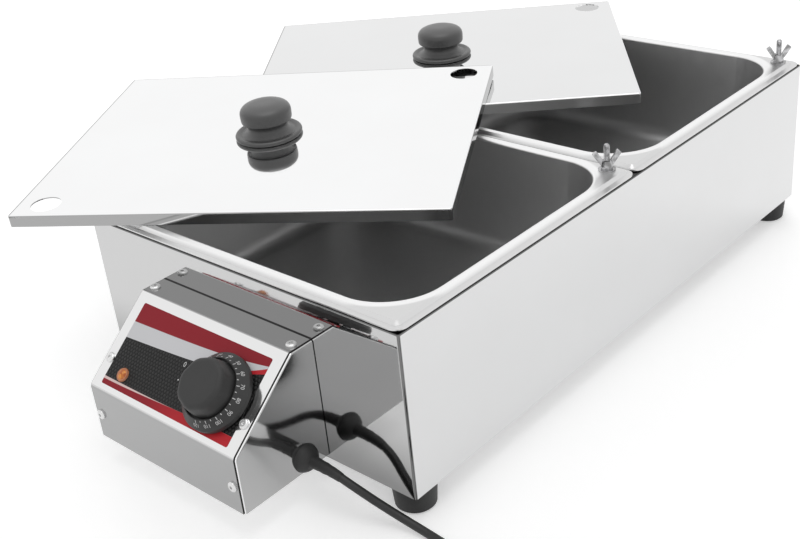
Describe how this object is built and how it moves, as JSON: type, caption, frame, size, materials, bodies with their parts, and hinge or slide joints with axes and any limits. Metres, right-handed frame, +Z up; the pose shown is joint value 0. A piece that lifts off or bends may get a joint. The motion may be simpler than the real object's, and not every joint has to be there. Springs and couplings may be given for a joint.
{
  "type": "food melter",
  "caption": "Countertop food melter: a folded steel housing with drawn pans, loose lids with knobs, clamp nuts, a slanted control box with a thermostat dial and a mains lead.",
  "frame": {"origin": "on the table top, midway between the four feet", "axes": "+X to the right as the control box faces the user, +Y from the control box to the rear, +Z up"},
  "size_m": [0.7643, 0.7421, 0.2062],
  "materials": {
    "polished_steel": "mirror polished",
    "pan_steel": "satin, drawn",
    "plain_steel": "plain rolled",
    "zinc_steel": "bright plated",
    "black_rubber": "matte",
    "knob_plastic": "satin",
    "dial_plastic": "satin",
    "panel_film": "printed film",
    "lamp_plastic": "clear tinted",
    "white_plastic": "plain",
    "black_plastic": "plain",
    "cord_pvc": "satin",
    "element_sheath": "heat tinted",
    "brass": "plain"
  },
  "bodies": {
    "melter": {"housing_shell": "polished_steel", "base_plate": "plain_steel", "cross_bar": "plain_steel", "stud_plates": "plain_steel", "clamp_studs": "zinc_steel", "rim_spacers": "zinc_steel", "clamp_washers": "zinc_steel", "spring_washers": "zinc_steel", "front_pan": "pan_steel", "rear_pan": "pan_steel", "front_gasket": "black_rubber", "rear_gasket": "black_rubber", "front_left_foot": "black_rubber", "front_right_foot": "black_rubber", "rear_left_foot": "black_rubber", "rear_right_foot": "black_rubber", "foot_screws": "zinc_steel", "base_screws": "zinc_steel", "control_cover": "polished_steel", "control_tray": "polished_steel", "cover_screws": "zinc_steel", "box_mount_screws": "zinc_steel", "panel_overlay": "panel_film", "thermostat_body": "white_plastic", "thermostat_screws": "zinc_steel", "pilot_lens": "lamp_plastic", "pilot_body": "black_plastic", "terminal_block": "white_plastic", "terminal_screws": "brass", "cord_grommet": "black_rubber", "inner_lead": "cord_pvc", "cord_clip": "black_plastic", "front_heater": "element_sheath", "rear_heater": "element_sheath", "front_heater_brackets": "plain_steel", "rear_heater_brackets": "plain_steel", "sensor_bulb": "brass", "bulb_clips": "plain_steel", "capillary": "brass", "power_cord": "cord_pvc", "power_cord_coil": "cord_pvc", "power_plug": "black_rubber", "plug_pins": "brass"},
    "dial": {"dial_knob": "dial_plastic", "thermostat_shaft": "zinc_steel"},
    "front_nut": {"front_wing_nut": "zinc_steel"},
    "rear_nut": {"rear_wing_nut": "zinc_steel"},
    "rear_cover": {"rear_lid": "polished_steel", "rear_lid_knob": "knob_plastic", "rear_knob_screw": "zinc_steel"},
    "front_cover": {"front_lid": "polished_steel", "front_lid_knob": "knob_plastic", "front_knob_screw": "zinc_steel"}
  },
  "joints": [
    {"name": "thermostat_dial", "type": "hinge", "parent": "melter", "child": "dial", "pos_m": [0.043, -0.34346, 0.0942], "axis": [0, -0.6396, 0.7687], "range_deg": [0, 258]},
    {"name": "front_wing_nut_turn", "type": "hinge", "parent": "melter", "child": "front_nut", "pos_m": [0.147, -0.0124, 0.166], "axis": [0, 0, 1], "continuous": true},
    {"name": "rear_wing_nut_turn", "type": "hinge", "parent": "melter", "child": "rear_nut", "pos_m": [0.152, 0.271, 0.166], "axis": [0, 0, 1], "continuous": true},
    {"name": "rear_lid_lift", "type": "slide", "parent": "melter", "child": "rear_cover", "axis": [0, 0, 1], "range_m": [0, 0.15]},
    {"name": "front_lid_lift", "type": "slide", "parent": "rear_cover", "child": "front_cover", "axis": [0, 0, 1], "range_m": [0, 0.15]}
  ]
}
